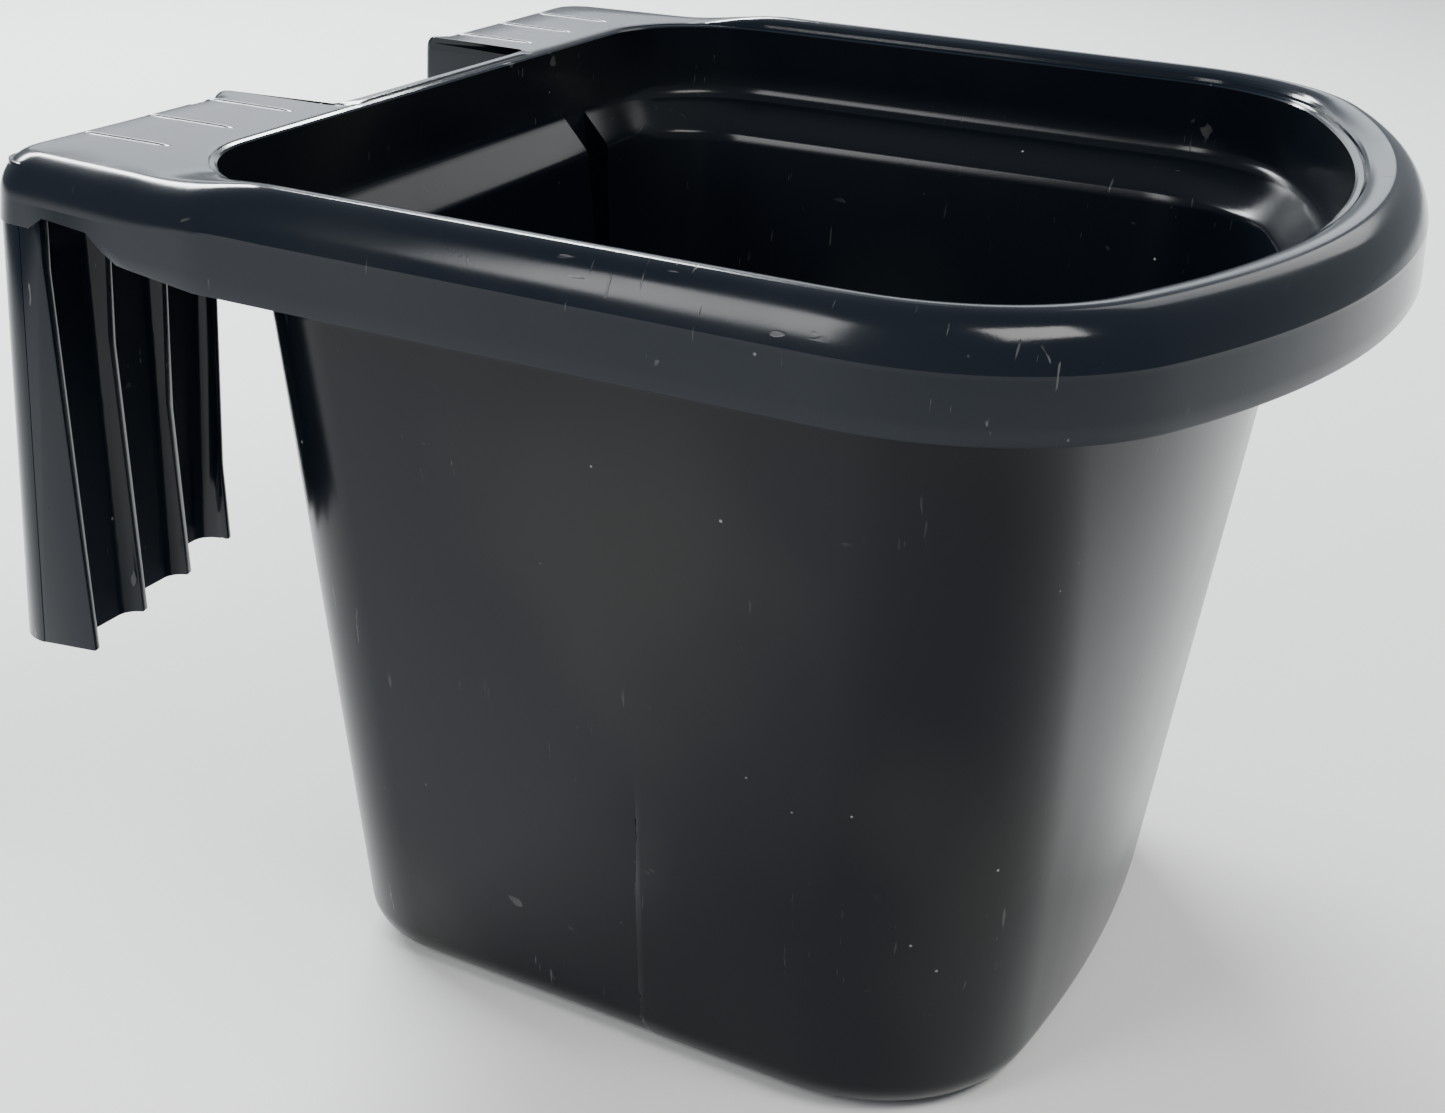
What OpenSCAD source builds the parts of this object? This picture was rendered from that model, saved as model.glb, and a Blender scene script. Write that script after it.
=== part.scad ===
// Hook-over feed bucket: a one-piece moulded tub with a rolled rim and two fluted hooks that drop
// behind a fence board. Every region between two creases of the moulding is a closed solid.
// +Z is up, the straight back and the hooks face +Y, X = 0 is the plane of symmetry, and the
// origin is the middle of the flat base, level with the ground.

/* [Overall] */
// Height of the mouth edge above the ground
mouth_z = 295; // [240:1:360]
// Half the mouth's width, at its back
mouth_half = 180; // [150:1:220]
// Mouth's back edge, behind the origin
mouth_back = 118; // [95:1:150]
// Mouth's front edge, ahead of the origin
mouth_front = 204; // [170:1:250]
// Angle by which each side opens towards the front
side_flare = 1.7; // [0:0.1:4]

/* [Corners] */
// Radius of the mouth's back corners
back_radius = 52; // [35:1:65]
// Radius of the mouth's front corners
front_radius = 62; // [45:1:80]
// Radius of the gently bowed front
bow_radius = 337; // [260:1:500]
// How much tighter the tub's back corners are than the mouth's
corner_gain = 12; // [0:1:20]
// Extra radius of the bow where the tub meets the ground
bow_ease = 260; // [0:10:400]
// Extra opening angle of the sides where the tub meets the ground
flare_ease = 2; // [0:0.1:4]

/* [Tub] */
// Thickness of the moulding
wall = 3; // [2.4:0.1:4]
// How far the tub's side wall is set in from the mouth, at the shoulder
side_inset = 19; // [12:0.5:26]
// How far the tub's front wall is set in from the mouth, at the shoulder
front_inset = 15; // [10:0.5:24]
// How far the tub's back wall is set in from the mouth, at the shoulder
back_inset = 10; // [6:0.5:16]
// Further inward run of each side wall, from the shoulder down to the ground
side_taper = 44; // [20:1:60]
// Further inward run of the front wall
front_taper = 29; // [12:1:50]
// Further inward run of the back wall
back_taper = 14; // [4:1:30]
// Radius between the walls and the floor
foot_radius = 14; // [8:1:20]

/* [Shoulder and collar] */
// Height of the upright collar inside the mouth
collar_h = 27.6; // [18:0.2:40]
// How much narrower the collar is at its foot, on each side
collar_draft = 1; // [0:0.1:2]
// Height of the sloping shoulder below the collar
shoulder_h = 12.4; // [8:0.2:20]
// Thickness of the underside of the shoulder
shoulder_under = 2.5; // [2:0.1:5]

/* [Rim] */
// Width of the rolled rim along the sides
rim_side_w = 21.2; // [16:0.2:28]
// Width of the rolled rim at the front
rim_front_w = 26; // [18:0.2:34]
// Width of the thin rim strip between the hooks
rim_back_w = 8.5; // [7:0.5:14]
// Rise of the roll above the mouth edge
roll_rise = 5.4; // [3:0.2:8]
// Share of the rim's width at which the roll is highest
crown_share = 0.46; // [0.35:0.01:0.6]
// Share of the rim's width at which the roll turns into the skirt
crease_share = 0.96; // [0.9:0.01:1]
// Share of the rim's width taken by the bevel around the mouth edge
land_share = 0.16; // [0.08:0.01:0.25]
// Share of the roll's rise that the bevel reaches
land_rise = 0.61; // [0.3:0.01:0.8]
// Drop from the mouth edge to the crease where the skirt starts
crease_drop = 9; // [6:0.5:12]
// Drop from the mouth edge to the skirt's bottom edge
skirt_drop = 27.8; // [20:0.2:36]

/* [Hooks] */
// Clear gap between the rim strip and the first upright edge of a hook, for the board
board_gap = 27; // [18:1:40]
// Hook's inner side edge, from the plane of symmetry
hook_inner = 70; // [50:1:90]
// Where the hook's arm starts on the rim, behind the origin
arm_start = 87; // [75:1:105]
// Length that the arm reaches behind the rim strip
arm_reach = 48; // [44:1:80]
// How much narrower the arm's outer side is at its back end
arm_toe = 10; // [0:0.5:16]
// Radius of the arm's outer back corner, seen from above
arm_corner = 14; // [6:0.5:20]
// Rise of the arm's top above the mouth edge
arm_rise = 0.8; // [0.4:0.1:4]
// Drop from the mouth edge to the seats that rest on the board
seat_drop = 16; // [10:0.5:18]
// Drop from the mouth edge to the tab at the arm's back corner
tab_drop = 21; // [15:0.5:24]
// Length along the arm over which its skirt steps down to the rim's skirt
seat_step = 5; // [2:0.5:10]
// Length of the drop plate below the mouth edge
plate_drop = 163; // [110:1:220]
// Distance between neighbouring upright ribs
rib_pitch = 33.3; // [28:0.1:36]
// How far each rib stands back from the one outside it, at the bottom
rib_step = 6.5; // [0:0.5:8]
// How much deeper the outer rib is at the bottom than at the top
rib_draft = 12; // [0:0.5:14]
// How much deeper the innermost rib is at the bottom than at the top
inner_draft = 4; // [0:0.5:10]
// Depth of the two shallow flutes
flute_depth = 8.5; // [4:0.5:12]
// Radius of each flute's two back corners
flute_r = 7; // [4:0.5:12]
// Width of the fine ridges on the arm's top
ridge_w = 2; // [1:0.5:4]
// Height of the fine ridges on the arm's top
ridge_h = 1.2; // [0.6:0.1:2]

/* [Back stiffeners] */
// Middle of each hollow stiffener, from the plane of symmetry
rib_x = 94; // [80:1:104]
// Outside width of a stiffener
rib_w = 23; // [16:0.5:30]
// Depth that a stiffener stands behind the back wall, at its top
rib_depth = 11; // [7:0.5:14]
// Length of a stiffener below the shoulder
rib_len = 105; // [70:1:150]

/* [Hidden] */
$fn = 96;
eps = 0.02;
arc_steps = 9;
roll_steps = 5;
foot_steps = 4;
slack = 2;      // how far a cutter runs past what it cuts
reach = 400;    // further out than any piece
tall = 600;     // higher than any piece
black = "#17191d";

collar_base = mouth_z - collar_h;
shoulder_base = collar_base - shoulder_h;
wall_top = shoulder_base - shoulder_under;
rim_back = mouth_back + rim_back_w;
hook_back = rim_back + arm_reach;
hook_outer = mouth_half + rim_side_w;
plate_bottom = mouth_z - plate_drop;
arm_top = mouth_z + arm_rise;
arm_under = arm_top - wall;
plate_outer = hook_outer - arm_toe - wall;
plate_inner = plate_outer - 3 * rib_pitch - wall;
first_edge = rim_back + board_gap;
rib_foot = shoulder_base - rib_len;

// A level is one horizontal outline: [z, half width at the back, back, front, back radius,
// front radius, bow radius, flare].
function mouth(z) = [z, mouth_half, mouth_back, mouth_front, back_radius, front_radius,
                     bow_radius, side_flare];

// A level grown outwards by its own amount along the sides, the back and the front.
function grown(l, side, back, front, z) =
    [z, l[1] + side, l[2] + back, l[3] + front, max(l[4] + (side + back) / 2, 6),
     max(l[5] + (side + front) / 2, 8), l[6] + front, l[7]];
function even(l, by, z) = grown(l, by, by, by, z);

// The outside of the tub wall at a height: it tapers in a straight line to the ground.
function tub(z) =
    let (down = 1 - z / shoulder_base)
    [z, mouth_half - side_inset - side_taper * down, mouth_back - back_inset - back_taper * down,
     mouth_front - front_inset - front_taper * down, back_radius - corner_gain, front_radius,
     bow_radius + bow_ease * down, side_flare + flare_ease * down];

function arc(c, r, from, to) =
    [for (i = [0:arc_steps]) let (t = from + (to - from) * i / arc_steps)
        [c[0] + r * cos(t), c[1] + r * sin(t)]];

// Half of the outline, from the middle of the back round the -X side to the middle of the front:
// a back corner, a straight side, a front corner and a bowed front, each tangent to the next.
function half_outline(l) =
    let (a = l[1], yb = l[2], yf = -l[3], rb = l[4], rc = l[5], rn = l[6], f = l[7],
         along = [-sin(f), -cos(f)], inward = [cos(f), -sin(f)], start = [-a, yb],
         bow = [0, yf + rn],
         from_bow = start + inward * rc - bow,
         run = -from_bow * along
             + sqrt(pow(from_bow * along, 2) - from_bow * from_bow + pow(rn - rc, 2)),
         corner = start + inward * rc + run * along,
         meet = atan2(corner[1] - bow[1], corner[0] - bow[0]) + 360,
         q = start + inward * rb,
         back = q + along * (q[1] - yb + rb) / cos(f))
    concat(arc(back, rb, 90, 180 - f), arc(corner, rc, 180 - f, meet), arc(bow, rn, meet, 270));

function outline(l) =
    let (h = half_outline(l), n = len(h))
    concat(h, [for (i = [n - 2:-1:0]) [-h[i][0], h[i][1]]]);

module slab(l) translate([0, 0, l[0]]) linear_extrude(eps) polygon(outline(l));
module loft(levels) hull() for (l = levels) slab(l);

// The same upright outline between two heights.
module prism(l, z0, z1) translate([0, 0, z0]) linear_extrude(z1 - z0) polygon(outline(l));

// Everything behind the crease where the arms start.
module behind_arm_start() translate([-reach, arm_start, 0]) cube([2 * reach, reach, tall]);
module strip_zone() translate([-hook_inner, arm_start, 0]) cube([2 * hook_inner, reach, tall]);

// Everything between two heights.
module layer(z0, z1) translate([-reach, -reach, z0]) cube([2 * reach, 2 * reach, z1 - z0]);

// ---- tub ----------------------------------------------------------------------------------
// Outline of the foot, where the walls turn into the floor on a radius.
function foot(radius, inset, t) =
    let (z = radius * (1 - cos(t)))
    even(tub(z), -inset - radius * (1 - sin(t)), z + inset);

function foot_levels(radius, inset) =
    [for (i = [0:foot_steps]) foot(radius, inset, 90 * i / foot_steps)];

module tub_floor() color(black) difference() {
    loft(foot_levels(foot_radius, 0));
    loft(concat(foot_levels(foot_radius - wall, wall), [foot(foot_radius, wall, 90)]));
    layer(foot_radius, tall);
}

module tub_wall() color(black) difference() {
    loft([tub(foot_radius), tub(wall_top - eps)]);
    loft([even(tub(foot_radius - slack), -wall, foot_radius - slack),
          even(tub(wall_top + slack), -wall, wall_top + slack)]);
    channels();
}

module shoulder() color(black) difference() {
    union() {
        loft([tub(wall_top), even(mouth(0), wall, wall_top + 2 * shoulder_under)]);
        prism(even(mouth(0), wall, 0), wall_top + 2 * shoulder_under, collar_base);
    }
    prism(even(tub(wall_top), -wall, 0), wall_top - slack, shoulder_base + eps);
    loft([even(tub(wall_top), -wall, shoulder_base), even(mouth(0), -collar_draft, collar_base)]);
    channels();
}

module collar() color(black) difference() {
    prism(even(mouth(0), wall, 0), collar_base, mouth_z);
    loft([even(mouth(0), -collar_draft, collar_base - eps), mouth(mouth_z + eps)]);
}

// ---- rim ----------------------------------------------------------------------------------
// Outline of the rim's outside, as a share of the roll's full width.
function rim(share, z) =
    grown(mouth(0), rim_side_w * share, rim_back_w * share, rim_front_w * share, z);

// The roll's section is a quarter of an ellipse, from the crease up to the crown.
function roll_level(t, gap) =
    even(rim(crown_share + (crease_share - crown_share) * sin(t), 0), -gap,
         mouth_z - crease_drop + (roll_rise + crease_drop - gap) * cos(t));

// The rim's outside, or its inside where gap is the wall. The skirt leans out a little.
module roll_outside(gap) loft(concat(
    [even(rim(1, 0), -gap, mouth_z - skirt_drop - (gap > 0 ? eps : 0))],
    [for (i = [roll_steps:-1:0]) roll_level(90 * i / roll_steps, gap)]));

module mouth_void() {
    bevel_z = mouth_z + roll_rise * land_rise;
    loft([mouth(mouth_z - eps), rim(land_share, bevel_z)]);
    loft([rim(land_share, bevel_z - eps), rim(crown_share, mouth_z + roll_rise + eps)]);
    prism(mouth(0), collar_base, mouth_z);
}

module rim_shell() difference() {
    roll_outside(0);
    difference() {
        roll_outside(wall);
        prism(even(mouth(0), wall, 0), 0, tall);
    }
    prism(even(mouth(0), wall, 0), 0, mouth_z);
    mouth_void();
}

module rim_roll() color(black) difference() {
    rim_shell();
    layer(0, mouth_z - crease_drop);
    behind_arm_start();
}

module rim_skirt() color(black) difference() {
    rim_shell();
    layer(mouth_z - crease_drop, tall);
    behind_arm_start();
}

module back_rim() color(black) intersection() {
    rim_shell();
    strip_zone();
    layer(mouth_z - crease_drop - wall, tall);
}

// ---- back stiffeners ----------------------------------------------------------------------
// Upright wedge behind the back wall, fading out downwards.
module wedge(width, depth, inset, top) hull() {
    translate([rib_x - width / 2, mouth_back - back_inset - back_radius, top])
        cube([width, back_radius + depth - inset, eps]);
    translate([rib_x - width / 2, tub(rib_foot)[2] - back_radius, rib_foot])
        cube([width, back_radius - inset, eps]);
}

module channel() wedge(rib_w - 2 * wall, rib_depth, wall, collar_base + eps);

module channels() for (side = [0, 1]) mirror([side, 0, 0]) channel();

module stiffener() color(black) difference() {
    wedge(rib_w, rib_depth, 0, wall_top);
    channel();
    loft([tub(rib_foot - slack), tub(wall_top + slack)]);
}

module stiffener_right() stiffener();
module stiffener_left() mirror([1, 0, 0]) stiffener();

// ---- hooks --------------------------------------------------------------------------------
// Plan of the arm: its outer side toes in, and its outer back corner is round.
module arm_plan(inset) difference() {
    polygon(concat(
        [[hook_inner + inset, arm_start], [hook_inner + inset, hook_back - inset]],
        [for (t = [90:-9:0]) [hook_outer - arm_toe - arm_corner + (arm_corner - inset) * cos(t),
                              hook_back - arm_corner + (arm_corner - inset) * sin(t)]],
        [[hook_outer - inset + side_flare / 2, arm_start]]));
}

module ridge(x) translate([x - ridge_w / 2, rim_back + wall, arm_top - eps])
    cube([ridge_w, arm_reach - 2 * wall, ridge_h]);

module arm() color(black) {
    difference() {
        union() {
            translate([0, 0, arm_under]) linear_extrude(wall) arm_plan(0);
            for (i = [1:3]) ridge(rib_x_at(i) - wall / 2);
            translate([hook_inner, rim_back, mouth_z - seat_drop])
                cube([wall, hook_back - wall - rim_back, seat_drop + arm_rise - eps]);
        }
        prism(even(mouth(0), wall, 0), 0, mouth_z);
        mouth_void();
    }
}

// Bottom edge of the arm's skirt seen from the side: a tab at the back corner, a raised seat
// over the board, then a step down to the rim's skirt.
module skirt_side() polygon([
    [arm_start, mouth_z - skirt_drop], [arm_start, arm_under],
    [hook_back + slack, arm_under], [hook_back + slack, mouth_z - tab_drop],
    [first_edge + slack, mouth_z - tab_drop], [first_edge + slack, mouth_z - seat_drop],
    [rim_back, mouth_z - seat_drop], [rim_back - seat_step / 2, mouth_z - seat_drop - wall],
    [rim_back - seat_step, mouth_z - skirt_drop + wall]]);

module arm_skirt() color(black) intersection() {
    translate([0, 0, collar_base]) linear_extrude(arm_under - collar_base) difference() {
        arm_plan(0);
        arm_plan(wall);
        translate([0, -reach]) square([plate_outer - 2 * arm_corner, 2 * reach]);
    }
    translate([hook_outer + slack, 0, 0]) rotate([90, 0, -90]) mirror([1, 0, 0])
        linear_extrude(hook_outer - hook_inner) skirt_side();
}

// ---- drop plates --------------------------------------------------------------------------
// In these functions, down is the share of the way down the plate: 0 at its top, 1 at its bottom.
function plate_z(down) = down > 0 ? plate_bottom : arm_under;
function rib_x_at(i) = plate_outer - i * rib_pitch;

// Line through the free edges of the upright ribs, which step back towards the middle.
function edge_y(i, down) =
    let (spread = (rib_draft - inner_draft) / 3)
    first_edge + i * (rib_step - spread) + down * (i * spread - rib_draft);

// How far back the floor of a shallow flute lies.
function floor_y(i, down) = (edge_y(i, down) + edge_y(i + 1, down)) / 2 + flute_depth;

// Straight-sided solid between a plan above the top of the plate and its like below the bottom.
module leaning() hull() for (down = [0, 1])
    translate([0, 0, plate_z(down) + (down > 0 ? -slack : slack)]) linear_extrude(eps)
        children(down);

// Plan of the whole plate, with its outer back corner round.
module plate_plan() polygon(concat(
    [[plate_inner, first_edge - rib_draft], [plate_outer, first_edge - rib_draft]],
    [for (t = [0:9:90]) [hook_outer - arm_toe - arm_corner + arm_corner * cos(t),
                         hook_back - arm_corner + arm_corner * sin(t)]],
    [[plate_inner, hook_back]]));

// What is cut away in front of the ribs.
module trim_plan(down) polygon([
    [rib_x_at(4), 0], [rib_x_at(-1), 0],
    [rib_x_at(-1), edge_y(-1, down)], [rib_x_at(4), edge_y(4, down)]]);

// A flute between two ribs, round in both back corners and open towards the tub.
module flute_plan(i, back) {
    x0 = rib_x_at(i + 1);
    x1 = rib_x_at(i) - wall;
    translate([x0, 0]) square([x1 - x0, back - flute_r]);
    translate([x0 + flute_r, 0]) square([x1 - x0 - 2 * flute_r, back]);
    for (x = [x0 + flute_r, x1 - flute_r]) translate([x, back - flute_r]) circle(flute_r);
}

// Runs a plan the whole height of the plate, leaning back by a slope on the way up.
module upright(slope) multmatrix([[1, 0, 0, 0], [0, 1, slope, -slope * plate_bottom],
                                  [0, 0, 1, 0], [0, 0, 0, 1]])
    translate([0, 0, plate_bottom - slack])
        linear_extrude(arm_under - plate_bottom + 2 * slack) children();

// The space behind a shallow flute, open at the bottom of the plate.
module pocket_plan(i, down) {
    front = min(floor_y(i, down) + wall, hook_back - wall - ridge_w);
    translate([rib_x_at(i + 1), front])
        square([rib_pitch - wall, hook_back - wall - front]);
}

module hook_solid() difference() {
    translate([0, 0, plate_bottom]) linear_extrude(arm_under - plate_bottom) plate_plan();
    leaning() { trim_plan(0); trim_plan(1); }
    for (i = [0, 1])
        upright((floor_y(i, 0) - floor_y(i, 1)) / (arm_under - plate_bottom))
            flute_plan(i, floor_y(i, 1));
    upright(0) flute_plan(2, hook_back - wall);
    for (i = [0, 1]) difference() {
        leaning() { pocket_plan(i, 0); pocket_plan(i, 1); }
        layer(arm_under - wall, tall);
    }
}

module outer_zone() translate([plate_outer - wall, 0, 0])
    cube([reach, hook_back - arm_corner, tall]);
module inner_zone() translate([plate_inner - slack, 0, 0])
    cube([wall + slack, hook_back - wall, tall]);

module drop_plate() color(black) difference() {
    hook_solid();
    outer_zone();
    inner_zone();
    arm_skirt();
}

module outer_flange() color(black) difference() {
    intersection() {
        hook_solid();
        outer_zone();
    }
    arm_skirt();
}

module inner_flange() color(black) intersection() {
    hook_solid();
    inner_zone();
}

module arm_right() arm();
module arm_left() mirror([1, 0, 0]) arm();
module arm_skirt_right() arm_skirt();
module arm_skirt_left() mirror([1, 0, 0]) arm_skirt();
module drop_plate_right() drop_plate();
module drop_plate_left() mirror([1, 0, 0]) drop_plate();
module outer_flange_right() outer_flange();
module outer_flange_left() mirror([1, 0, 0]) outer_flange();
module inner_flange_right() inner_flange();
module inner_flange_left() mirror([1, 0, 0]) inner_flange();

tub_floor();
tub_wall();
shoulder();
collar();
rim_roll();
rim_skirt();
back_rim();
stiffener_left();
stiffener_right();
arm_left();
arm_right();
arm_skirt_left();
arm_skirt_right();
drop_plate_left();
drop_plate_right();
outer_flange_left();
outer_flange_right();
inner_flange_left();
inner_flange_right();
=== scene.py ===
"""Hook-over feed bucket: the visual model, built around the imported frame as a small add-on."""

import math

import bmesh
import bpy
from bpy.props import FloatProperty, FloatVectorProperty, PointerProperty
from mathutils import Matrix, Vector


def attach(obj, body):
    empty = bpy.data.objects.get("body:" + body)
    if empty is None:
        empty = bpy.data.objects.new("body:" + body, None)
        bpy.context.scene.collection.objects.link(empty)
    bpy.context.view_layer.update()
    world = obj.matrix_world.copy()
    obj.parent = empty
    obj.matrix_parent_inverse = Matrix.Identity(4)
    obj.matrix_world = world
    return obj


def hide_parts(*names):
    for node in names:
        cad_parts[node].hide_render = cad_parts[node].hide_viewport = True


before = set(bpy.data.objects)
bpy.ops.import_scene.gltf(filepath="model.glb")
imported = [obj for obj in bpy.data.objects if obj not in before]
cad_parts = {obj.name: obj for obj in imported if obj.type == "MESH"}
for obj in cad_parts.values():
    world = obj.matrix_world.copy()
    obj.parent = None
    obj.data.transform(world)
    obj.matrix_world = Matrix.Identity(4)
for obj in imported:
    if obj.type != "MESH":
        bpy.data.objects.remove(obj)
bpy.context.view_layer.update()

bl_info = {
    "name": "Hook-over feed bucket",
    "version": (1, 0, 0),
    "blender": (4, 5, 0),
    "location": "View3D > Sidebar > Feed bucket",
    "description": "Models a moulded feed bucket with a rolled rim and two fluted hooks",
    "category": "Add Mesh",
}

MM = 0.001
BODY = "root"
RIM_SLOT, TUB_SLOT = "black_plastic", "black_plastic_tub"
ARC_POINTS = 20      # along each arc of an outline
SIDE_POINTS = 4      # along each straight stretch between two marks
FOOT_POINTS = 14     # round the tub's foot
ROUND_POINTS = 10    # round the outer side of the rim's section
RIM_WALL = 2.4       # thickness of the rim and its skirt, in millimetres like all lengths below


# ---- properties -------------------------------------------------------------------------------
def length(label, text, default):
    return FloatProperty(name=label, description=text, default=default * MM, unit="LENGTH",
                         precision=4)


class BucketSizes(bpy.types.PropertyGroup):
    mouth_z: length("Mouth height", "Height of the mouth edge above the ground", 295)
    mouth_half: length("Mouth half width", "Half the mouth's width, at its back", 180)
    mouth_back: length("Mouth back", "Mouth's back edge, behind the origin", 118)
    mouth_front: length("Mouth front", "Mouth's front edge, ahead of the origin", 204)
    wall: length("Wall", "Thickness of the moulding", 3)
    rim_side: length("Rim at the sides", "Width of the rolled rim along the sides", 21.2)
    rim_front: length("Rim at the front", "Width of the rolled rim at the front", 26)
    rim_back: length("Rim strip", "Width of the rim strip between the hooks", 8.5)
    roll_rise: length("Roll rise", "Rise of the roll above the mouth edge", 5.4)
    crease_drop: length("Crease drop", "Drop from the mouth edge to the skirt's crease", 9)
    skirt_drop: length("Skirt drop", "Drop from the mouth edge to the skirt's bottom", 27.8)
    arm_reach: length("Arm reach", "Length of a hook's arm behind the rim strip", 48)
    arm_round: length("Arm rounding", "Radius of the arm's outer and back edges", 12)
    ridge_rise: length("Ridge rise", "Height of the fine ridges on the arms", 0.45)


class BucketFinish(bpy.types.PropertyGroup):
    rim_color: FloatVectorProperty(name="Rim colour", description="Colour of the rim and hooks",
                                   default=(0.0040, 0.0070, 0.0120), subtype="COLOR", size=3)
    tub_color: FloatVectorProperty(name="Tub colour", description="Colour of the tub",
                                   default=(0.0030, 0.0045, 0.0072), subtype="COLOR", size=3)
    floor_color: FloatVectorProperty(name="Floor colour", description="Colour of the studio floor",
                                     default=(0.86, 0.86, 0.85), subtype="COLOR", size=3)
    rim_roughness: FloatProperty(name="Rim roughness", description="Roughness of the clean rim",
                                 default=0.12, min=0.0, max=1.0, subtype="FACTOR")
    tub_roughness: FloatProperty(name="Tub roughness", description="Roughness of the clean tub",
                                 default=0.20, min=0.0, max=1.0, subtype="FACTOR")


def sizes():
    """The sizes in millimetres, by name."""
    group = bpy.context.scene.bucket_sizes
    return {name: getattr(group, name) / MM for name in BucketSizes.__annotations__}


# ---- outlines ---------------------------------------------------------------------------------
# A level is one horizontal outline, in millimetres: half width at the back, back, front,
# back radius, front radius, bow radius and flare in degrees.
BACK_RADIUS, FRONT_RADIUS, BOW_RADIUS, FLARE = 52, 62, 337, 1.7
SHOULDER_Z, COLLAR_Z = 255.0, 267.4
# The shallow mould step on the sides, which slants forwards over the foot.
STEP_Y, STEP_TOP_Z, STEP_DEPTH, STEP_SLANT = -36.5, 110.0, 0.7, 10
TUB_SIDE, TUB_BACK, TUB_FRONT = 19, 10, 15          # how far the tub's top is set in
TAPER_SIDE, TAPER_BACK, TAPER_FRONT = 44, 14, 29    # and how much further its foot is
CORNER_GAIN, BOW_EASE, FLARE_EASE = 12, 260, 2
FOOT_RADIUS, FOOT_SEAM_Z = 14.0, 20.0
CHANNEL_X, CHANNEL_HALF, CHANNEL_FLANK, CHANNEL_FOOT_Z = 94.0, 8.5, 1.2, 150.0


def mouth(s, side=0.0, back=0.0, front=0.0):
    """The mouth edge, or the same grown by its own amount along each side."""
    return (s["mouth_half"] + side, s["mouth_back"] + back, s["mouth_front"] + front,
            max(BACK_RADIUS + (side + back) / 2, 6), max(FRONT_RADIUS + (side + front) / 2, 8),
            BOW_RADIUS + front, FLARE)


def tub(s, z, inset=0.0):
    """The tub wall's outside at a height, or set in from it by a distance."""
    down = 1 - z / SHOULDER_Z
    return (s["mouth_half"] - TUB_SIDE - TAPER_SIDE * down - inset,
            s["mouth_back"] - TUB_BACK - TAPER_BACK * down - inset,
            s["mouth_front"] - TUB_FRONT - TAPER_FRONT * down - inset,
            BACK_RADIUS - CORNER_GAIN - inset, FRONT_RADIUS - inset,
            BOW_RADIUS + BOW_EASE * down - inset, FLARE + FLARE_EASE * down)


def between(a, b, t):
    return tuple(p + (q - p) * t for p, q in zip(a, b))


def arc(cx, cy, r, start, end, count):
    """Points of an arc, from one angle in degrees to another."""
    return [(cx + r * math.cos(math.radians(start + (end - start) * i / count)),
             cy + r * math.sin(math.radians(start + (end - start) * i / count)))
            for i in range(count + 1)]


def spread(p, q, marks):
    """Points of the line from p to q, without its ends: the marks, given as shares of the line,
    with even points between them."""
    knots = [0.0, *sorted(marks), 1.0]
    shares = []
    for low, high in zip(knots, knots[1:]):
        shares += [low + (high - low) * i / SIDE_POINTS for i in range(1, SIDE_POINTS + 1)]
    return [(p[0] + (q[0] - p[0]) * t, p[1] + (q[1] - p[1]) * t) for t in shares[:-1]]


def half_outline(level, side_marks=(), back_marks=()):
    """From the middle of the back round the -X side to the middle of the front."""
    a, yb, front, rb, rc, rn, flare = level
    yf, f = -front, math.radians(flare)
    along, inward = Vector((-math.sin(f), -math.cos(f))), Vector((math.cos(f), -math.sin(f)))
    start, bow = Vector((-a, yb)), Vector((0, yf + rn))
    q = start + inward * rc - bow
    run = -q.dot(along) + math.sqrt(q.dot(along) ** 2 - q.dot(q) + (rn - rc) ** 2)
    corner = start + inward * rc + along * run
    meet = math.degrees(math.atan2(corner.y - bow.y, corner.x - bow.x)) + 360
    q = start + inward * rb
    back = q + along * (q.y - yb + rb) / math.cos(f)
    back_arc = arc(back.x, back.y, rb, 90, 180 - flare, ARC_POINTS)
    front_arc = arc(corner.x, corner.y, rc, 180 - flare, meet, ARC_POINTS)
    bow_arc = arc(bow.x, bow.y, rn, meet, 270, ARC_POINTS)
    top = (0.0, yb)
    limit, n = -back_arc[0][0], len(back_marks)
    shares = [min(x, limit - 0.3 * (n - i)) / limit for i, x in enumerate(back_marks)]
    y0, y1 = back_arc[-1][1], front_arc[0][1]
    marks = [(y0 - y) / (y0 - y1) for y in side_marks]
    return ([top] + spread(top, back_arc[0], shares) + back_arc
            + spread(back_arc[-1], front_arc[0], marks) + front_arc + bow_arc[1:])


def whole(half):
    """The full outline from one half, which starts and ends on the plane of symmetry."""
    return half + [(-x, y) for x, y in reversed(half[1:-1])]


# ---- meshes -----------------------------------------------------------------------------------
def first_ring(bm, points):
    """A ring of edges through the given points, as its vertices and its edges."""
    verts = bmesh.ops.create_circle(bm, segments=len(points), radius=1.0)["verts"]
    for v, p in zip(verts, points):
        v.co = Vector(p) * MM
    return verts, bm.edges[:]


def next_ring(bm, ring, points):
    """Extrudes a ring of edges and moves the new one onto the given points."""
    verts, edges = ring
    made = bmesh.ops.extrude_edge_only(bm, edges=edges)["geom"]
    fresh = {g for g in made if isinstance(g, bmesh.types.BMVert)}
    new = [next(e.other_vert(v) for e in v.link_edges if e.other_vert(v) in fresh)
           for v in verts]
    for v, p in zip(new, points):
        v.co = Vector(p) * MM
    return new, [g for g in made if isinstance(g, bmesh.types.BMEdge)
                 and g.verts[0] in fresh and g.verts[1] in fresh]


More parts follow.
